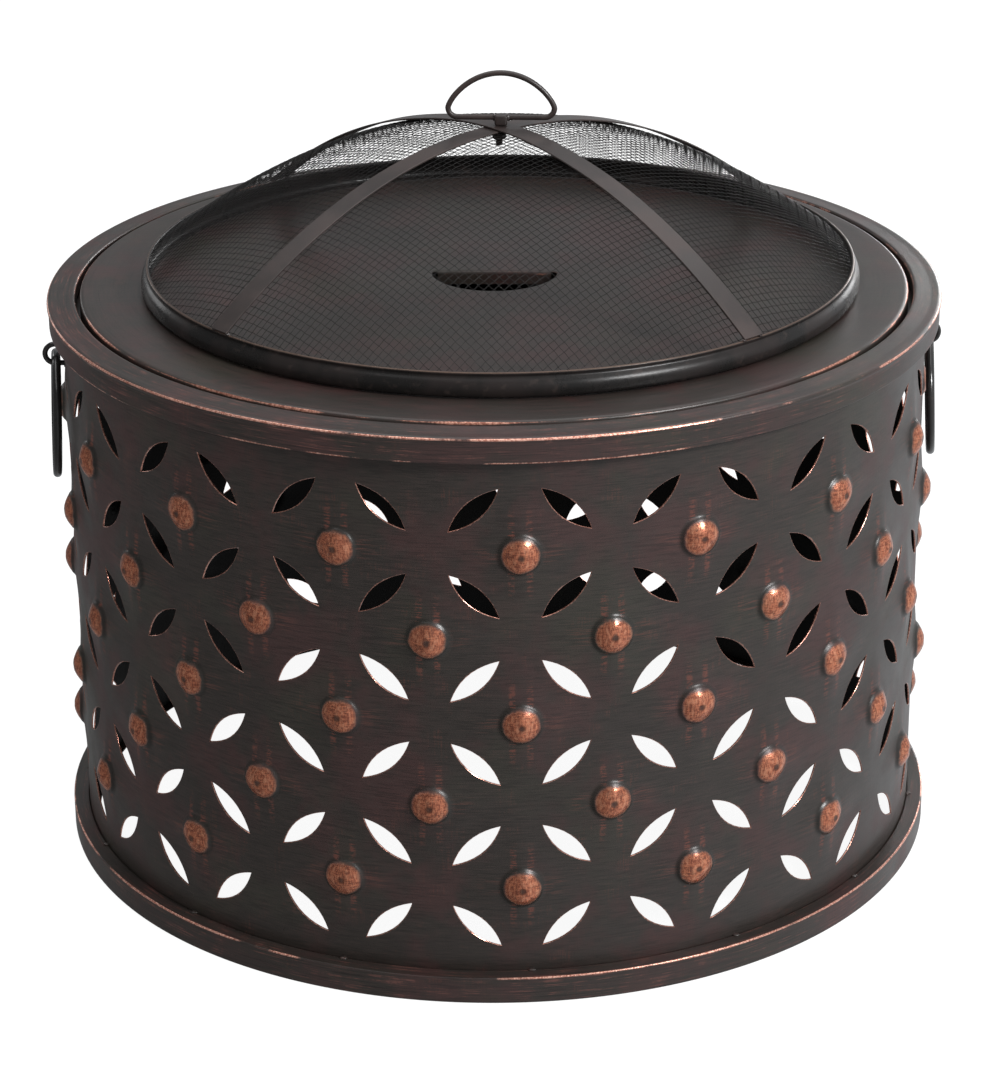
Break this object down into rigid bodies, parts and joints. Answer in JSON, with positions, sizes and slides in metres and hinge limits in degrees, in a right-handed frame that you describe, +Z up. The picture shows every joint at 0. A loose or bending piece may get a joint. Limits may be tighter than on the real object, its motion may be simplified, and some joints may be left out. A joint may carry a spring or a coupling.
{
  "type": "drum fire pit with spark screen, lid, bowl and log grate",
  "caption": "Round pierced steel drum fire pit: bowl and log grate inside, flat lid with a hand slot, domed mesh spark screen on top, hinged pull rings on the sides.",
  "frame": {"origin": "on the floor, under the middle of the drum", "axes": "+Z up; the two pull rings are on +X and -X; a column of studs faces -Y, which is the front"},
  "size_m": [0.7778, 0.765, 0.6721],
  "materials": {
    "aged_bronze": "hand-rubbed dark bronze, copper showing on edges and studs",
    "lid_bronze": "dark bronze, semi-gloss, rubbed edge",
    "black_enamel": "semi-gloss black",
    "black_mesh": "matt black woven wire",
    "bare_hot_steel": "high-temperature matt black"
  },
  "bodies": {
    "drum": {"drum_shell": "aged_bronze", "base_ring": "aged_bronze", "top_rim_ring": "aged_bronze", "bowl_ledge_ring": "aged_bronze", "handle_eyelet_left": "black_enamel", "handle_eyelet_right": "black_enamel"},
    "pull_ring_left": {"pull_ring_left": "black_enamel"},
    "pull_ring_right": {"pull_ring_right": "black_enamel"},
    "bowl": {"fire_bowl": "bare_hot_steel"},
    "grate": {"grate_ring": "bare_hot_steel", "grate_bar_1": "bare_hot_steel", "grate_bar_2": "bare_hot_steel", "grate_bar_3": "bare_hot_steel", "grate_bar_4": "bare_hot_steel", "grate_bar_5": "bare_hot_steel", "grate_bar_6": "bare_hot_steel", "grate_bar_7": "bare_hot_steel", "grate_foot_1": "bare_hot_steel", "grate_foot_2": "bare_hot_steel", "grate_foot_3": "bare_hot_steel", "grate_foot_4": "bare_hot_steel"},
    "lid": {"table_lid": "lid_bronze", "lid_grip_plate": "lid_bronze", "lid_edge_ring": "lid_bronze"},
    "screen": {"screen_ring": "black_enamel", "screen_mesh": "black_mesh", "screen_mesh_crown": "black_mesh", "screen_strap_lower": "black_enamel", "screen_strap_upper": "black_enamel", "screen_handle_eyebolt": "black_enamel", "screen_handle_washer": "black_enamel", "screen_handle_nut": "black_enamel", "screen_handle_loop": "black_enamel"}
  },
  "joints": [
    {"name": "left_ring_swing", "type": "hinge", "parent": "drum", "child": "pull_ring_left", "pos_m": [-0.3768, 0, 0.4295], "axis": [-0.0819, 0.9966, 0], "range_deg": [0, 150]},
    {"name": "right_ring_swing", "type": "hinge", "parent": "drum", "child": "pull_ring_right", "pos_m": [0.378, 0, 0.4295], "axis": [-0.153, -0.9882, 0], "range_deg": [0, 150]},
    {"name": "bowl_lift", "type": "slide", "parent": "drum", "child": "bowl", "axis": [0, 0, 1], "range_m": [0, 0.3]},
    {"name": "grate_lift", "type": "slide", "parent": "bowl", "child": "grate", "axis": [0, 0, 1], "range_m": [0, 0.25]},
    {"name": "lid_lift", "type": "slide", "parent": "grate", "child": "lid", "axis": [0, 0, 1], "range_m": [0, 0.25]},
    {"name": "screen_lift", "type": "slide", "parent": "lid", "child": "screen", "axis": [0, 0, 1], "range_m": [0, 0.3]}
  ]
}
